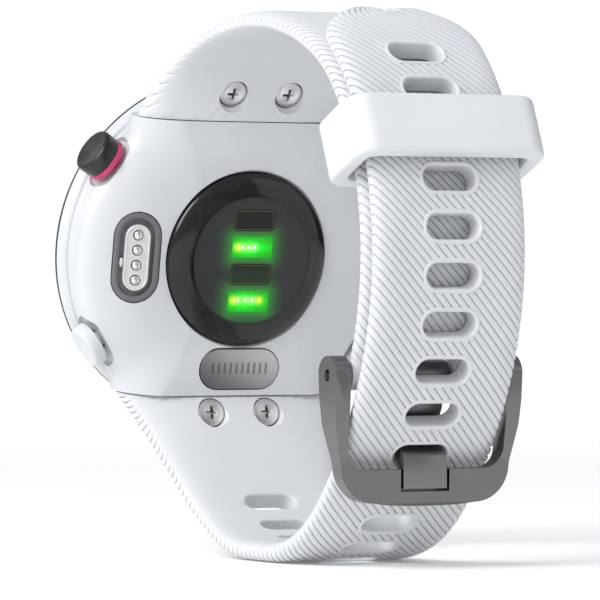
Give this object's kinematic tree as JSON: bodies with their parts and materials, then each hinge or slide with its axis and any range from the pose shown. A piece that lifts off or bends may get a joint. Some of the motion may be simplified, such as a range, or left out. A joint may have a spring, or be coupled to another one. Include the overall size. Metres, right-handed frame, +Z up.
{
  "type": "gps running watch",
  "caption": "Round sports watch on a ribbed silicone strap closed in a loop, with side buttons, an optical wrist sensor, a charging port and a tang buckle.",
  "frame": {"origin": "centre of the bounding box at its base", "axes": "+X towards the start-button side, +Y from the display towards the buckle, +Z up; the case leans back 10.4 degrees"},
  "size_m": [0.0404, 0.0628, 0.0601],
  "materials": {
    "white_shell": "satin white moulded shell",
    "white_silicone": "matte white silicone",
    "white_keeper": "smooth white silicone",
    "black_bezel": "satin black",
    "display_glass": "polished dark cover glass",
    "display_panel": "dark display panel",
    "grey_frame": "matte grey",
    "circuit_board": "green solder mask",
    "seal_rubber": "matte black",
    "battery_foil": "foil pouch",
    "steel": "satin steel",
    "brass": "plain brass",
    "ceramic": "matte ceramic",
    "switch_body": "matte dark",
    "gloss_black": "high gloss black",
    "sensor_glass": "dark polished glass",
    "green_led": "lit green light source",
    "photodiode": "dark chip",
    "port_grey": "satin dark grey",
    "contact_silver": "plated contact",
    "pink_ring": "satin pink",
    "black_metal": "turned black metal",
    "gunmetal": "blasted gunmetal"
  },
  "bodies": {
    "watch": {"rear_case": "white_shell", "front_bezel": "black_bezel", "display_lens": "display_glass", "display_module": "display_panel", "display_frame": "grey_frame", "main_board": "circuit_board", "case_seal": "seal_rubber", "battery": "battery_foil", "vibration_motor": "steel", "buzzer": "brass", "gps_antenna": "ceramic", "sensor_ring": "gloss_black", "sensor_lens": "sensor_glass", "optical_board": "circuit_board", "photodiode_upper": "photodiode", "led_upper": "green_led", "photodiode_lower": "photodiode", "led_lower": "green_led", "charge_port_tray": "port_grey", "contact_block": "contact_silver", "serial_plate": "steel", "strap_long": "white_silicone", "strap_short": "white_silicone", "spring_bar": "steel", "contact_pin_1": "contact_silver", "strap_screw_1": "steel", "contact_pin_2": "contact_silver", "strap_screw_2": "steel", "contact_pin_3": "contact_silver", "strap_screw_3": "steel", "contact_pin_4": "contact_silver", "strap_screw_4": "steel", "start_switch": "switch_body", "back_switch": "switch_body", "light_switch": "switch_body", "up_switch": "switch_body", "down_switch": "switch_body"},
    "start_key": {"start_button": "black_metal", "start_button_ring": "pink_ring"},
    "back_key": {"back_button": "white_shell"},
    "light_key": {"light_button": "white_shell"},
    "up_key": {"up_button": "white_shell"},
    "down_key": {"down_button": "white_shell"},
    "frame": {"buckle_frame": "gunmetal"},
    "tang": {"buckle_tang": "gunmetal"},
    "keeper": {"keeper_loop": "white_keeper"}
  },
  "joints": [
    {"name": "start_press", "type": "slide", "parent": "watch", "child": "start_key", "axis": [-0.8434, -0.0972, -0.5284], "range_m": [0, 0.0006], "stiffness_N_per_m": 1200, "springref_m": -0.0003},
    {"name": "back_press", "type": "slide", "parent": "watch", "child": "back_key", "axis": [-0.8434, 0.0972, 0.5284], "range_m": [0, 0.0006], "stiffness_N_per_m": 1200, "springref_m": -0.0003},
    {"name": "light_press", "type": "slide", "parent": "watch", "child": "light_key", "axis": [0.8434, -0.0972, -0.5284], "range_m": [0, 0.0006], "stiffness_N_per_m": 1200, "springref_m": -0.0003},
    {"name": "up_press", "type": "slide", "parent": "watch", "child": "up_key", "axis": [1, 0, 0], "range_m": [0, 0.0006], "stiffness_N_per_m": 1200, "springref_m": -0.0003},
    {"name": "down_press", "type": "slide", "parent": "watch", "child": "down_key", "axis": [0.8434, 0.0972, 0.5284], "range_m": [0, 0.0006], "stiffness_N_per_m": 1200, "springref_m": -0.0003},
    {"name": "frame_hinge", "type": "hinge", "parent": "watch", "child": "frame", "pos_m": [0.00042, 0.02331, 0.02063], "axis": [1, 0, 0], "range_deg": [-0.5, 1]},
    {"name": "tang_hinge", "type": "hinge", "parent": "watch", "child": "tang", "pos_m": [0.00042, 0.02331, 0.02063], "axis": [1, 0, 0], "range_deg": [-0.5, 1]},
    {"name": "keeper_slide", "type": "hinge", "parent": "watch", "child": "keeper", "pos_m": [0.00042, -0.00127, 0.0335], "axis": [1, 0, 0], "range_deg": [-27, 0]}
  ]
}
